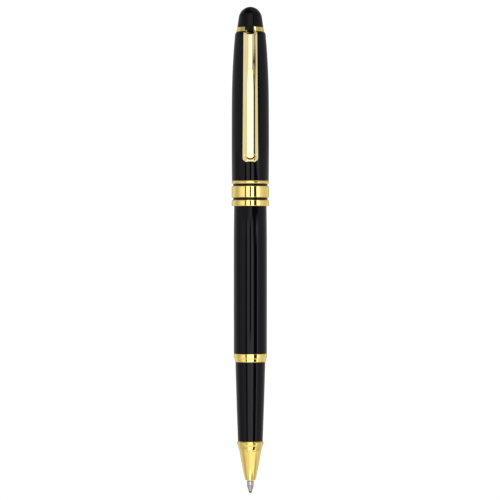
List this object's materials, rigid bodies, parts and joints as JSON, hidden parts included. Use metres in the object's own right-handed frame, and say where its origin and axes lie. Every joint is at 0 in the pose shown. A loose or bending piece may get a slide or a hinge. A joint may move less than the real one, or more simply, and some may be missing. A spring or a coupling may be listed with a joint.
{
  "type": "rollerball pen",
  "caption": "Slim rollerball pen with a clipped pull-off cap posted on its tapered barrel, a screw-off front section and a spring-backed refill.",
  "frame": {"origin": "lowest point of the writing ball, on the pen's axis", "axes": "+Z along the pen from the writing point to the finial; -Y towards the pocket clip; +X to the right when the clip faces the viewer"},
  "size_m": [0.012, 0.0143, 0.1556],
  "materials": {
    "black_lacquer": "high-gloss black lacquer over a brass tube",
    "black_resin": "polished black resin",
    "black_sleeve": "black moulded sleeve, satin",
    "gold_plate": "bright gold plating over brass",
    "brass": "turned brass, plain",
    "liner_plastic": "moulded black plastic",
    "refill_plastic": "moulded dark grey plastic",
    "refill_metal": "drawn metal tube, satin",
    "spring_steel": "spring wire",
    "nickel_silver": "turned nickel silver, bright",
    "hard_metal": "polished hard-metal ball",
    "ink_fibre": "black-inked polyester fibre"
  },
  "bodies": {
    "barrel": {"barrel_tube": "black_lacquer", "barrel_thread_bush": "brass", "barrel_tail_plug": "black_resin", "refill_spring": "spring_steel"},
    "section_collar": {"section_ring": "gold_plate"},
    "section": {"section_grip": "black_resin", "section_insert": "brass", "nose_cone": "gold_plate"},
    "refill": {"refill_tube": "refill_metal", "refill_end_plug": "refill_plastic", "refill_nose": "refill_plastic", "refill_reservoir": "ink_fibre", "refill_wick": "ink_fibre", "refill_point": "nickel_silver"},
    "ball": {"refill_ball": "hard_metal"},
    "cap_clutch": {"cap_clutch_ring": "spring_steel"},
    "cap": {"cap_tube": "black_lacquer", "cap_mouth_sleeve": "black_sleeve", "band_mouth_ring": "gold_plate", "band_wide_ring": "gold_plate", "band_upper_ring": "gold_plate", "cap_liner": "liner_plastic", "cap_top_bush": "brass", "clip_collar": "gold_plate", "cap_finial": "black_resin", "finial_stud": "brass"},
    "clip": {"clip_arm": "gold_plate"}
  },
  "joints": [
    {"name": "section_travel", "type": "slide", "parent": "barrel", "child": "section_collar", "axis": [0, 0, -1], "range_m": [0, 0.00525]},
    {"name": "section_turn", "type": "hinge", "parent": "section_collar", "child": "section", "pos_m": [0, 0, 0.048], "axis": [0, 0, -1], "range_deg": [0, 2520.5]},
    {"name": "refill_press", "type": "slide", "parent": "section", "child": "refill", "axis": [0, 0, 1], "range_m": [0, 0.0015], "stiffness_N_per_m": 900, "springref_m": -0.001, "deforming": ["refill_spring"]},
    {"name": "ball_roll", "type": "hinge", "parent": "refill", "child": "ball", "pos_m": [0, 0, 0.00035], "axis": [1, 0, 0], "continuous": true},
    {"name": "cap_pull", "type": "slide", "parent": "barrel", "child": "cap_clutch", "axis": [0, 0, 1], "range_m": [0, 0.04]},
    {"name": "cap_turn", "type": "hinge", "parent": "cap_clutch", "child": "cap", "pos_m": [0, 0, 0.102], "axis": [0, 0, 1], "continuous": true},
    {"name": "clip_flex", "type": "hinge", "parent": "cap", "child": "clip", "pos_m": [0, -0.00435, 0.14795], "axis": [-1, 0, 0], "range_deg": [0, 5], "stiffness_Nm_per_rad": 2, "springref_deg": -1.15}
  ],
  "couplings": [
    {"joint": "section_turn", "follows": "section_travel", "rad_per_m": 8377.6}
  ]
}
